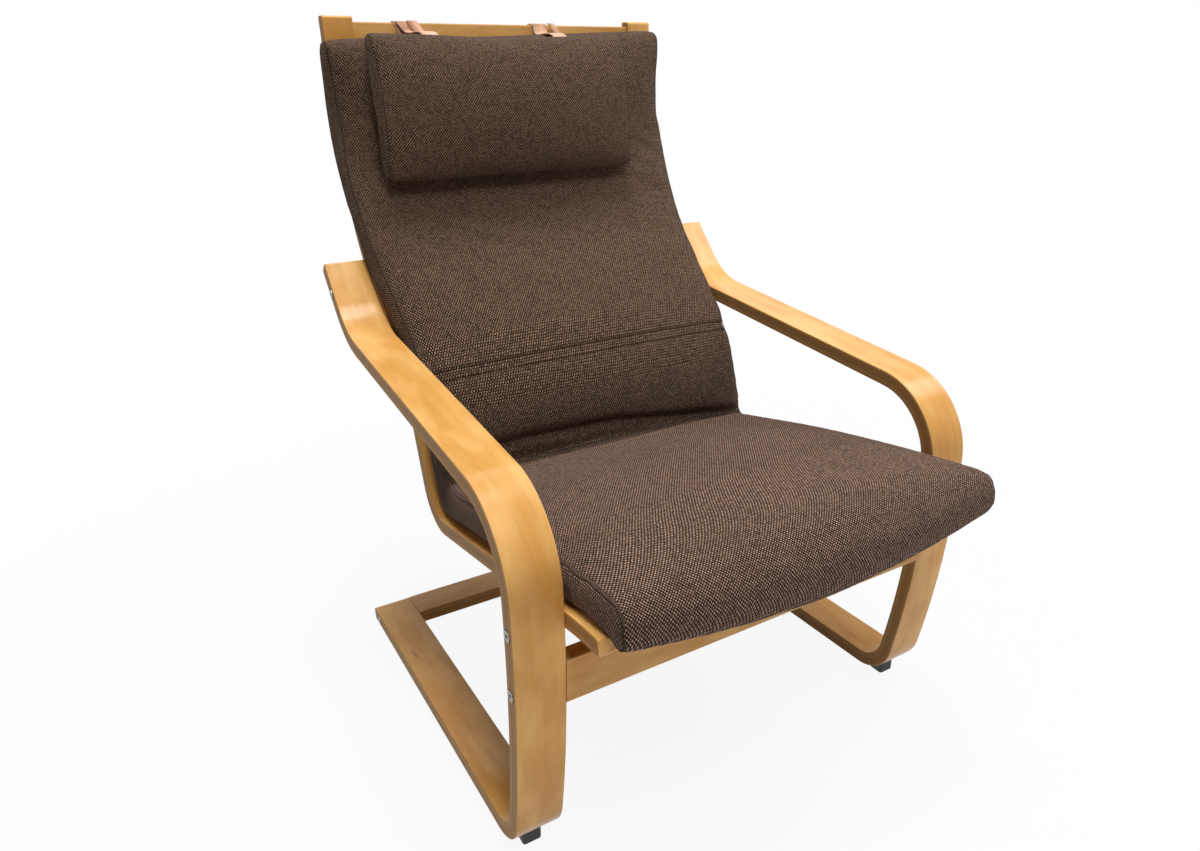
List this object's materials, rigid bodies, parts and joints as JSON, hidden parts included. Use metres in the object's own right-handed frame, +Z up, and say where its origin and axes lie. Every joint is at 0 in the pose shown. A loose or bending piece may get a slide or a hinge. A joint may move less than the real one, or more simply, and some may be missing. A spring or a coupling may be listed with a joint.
{
  "type": "bentwood armchair",
  "caption": "Cantilever armchair of bent laminated wood with a one-piece seat and back cushion and a head pillow strapped over the top rail.",
  "frame": {"origin": "on the floor under the middle of the chair's bounding box", "axes": "+Z up, the chair faces -Y, +X towards the right-hand side seen from the front"},
  "size_m": [0.682, 0.8547, 0.9999],
  "materials": {
    "frame_wood": "satin lacquer over laminated birch",
    "dowel_wood": "bare",
    "cushion_fabric": "coarse basket weave",
    "sling_fabric": "plain woven band",
    "strip_plastic": "matte",
    "foot_plastic": "matte",
    "strap_leather": "natural vegetable tan",
    "bolt_steel": "zinc plated"
  },
  "bodies": {
    "chair": {"left_arm_frame": "frame_wood", "right_arm_frame": "frame_wood", "left_seat_rail": "frame_wood", "right_seat_rail": "frame_wood", "top_rail": "frame_wood", "lower_back_rail": "frame_wood", "front_cross_rail": "frame_wood", "rear_cross_rail": "frame_wood", "support_sling": "sling_fabric", "left_sling_strip": "strip_plastic", "right_sling_strip": "strip_plastic", "cushion": "cushion_fabric", "connector_bolts": "bolt_steel", "barrel_nuts": "bolt_steel", "front_rail_dowels": "dowel_wood", "rear_rail_dowels": "dowel_wood", "top_rail_dowels": "dowel_wood", "lower_rail_dowels": "dowel_wood", "front_feet": "foot_plastic", "rear_feet": "foot_plastic", "foot_screws": "bolt_steel"},
    "strap_loops": {"left_strap_loop": "strap_leather", "right_strap_loop": "strap_leather"},
    "pillow": {"head_pillow": "cushion_fabric", "left_strap_tail": "strap_leather", "right_strap_tail": "strap_leather"}
  },
  "joints": [
    {"name": "pillow_slide", "type": "slide", "parent": "chair", "child": "strap_loops", "axis": [1, 0, 0], "range_m": [-0.05, 0.14]},
    {"name": "pillow_swing", "type": "hinge", "parent": "strap_loops", "child": "pillow", "pos_m": [0, 0.39911, 0.99267], "axis": [-1, 0, 0], "range_deg": [0, 90]}
  ]
}
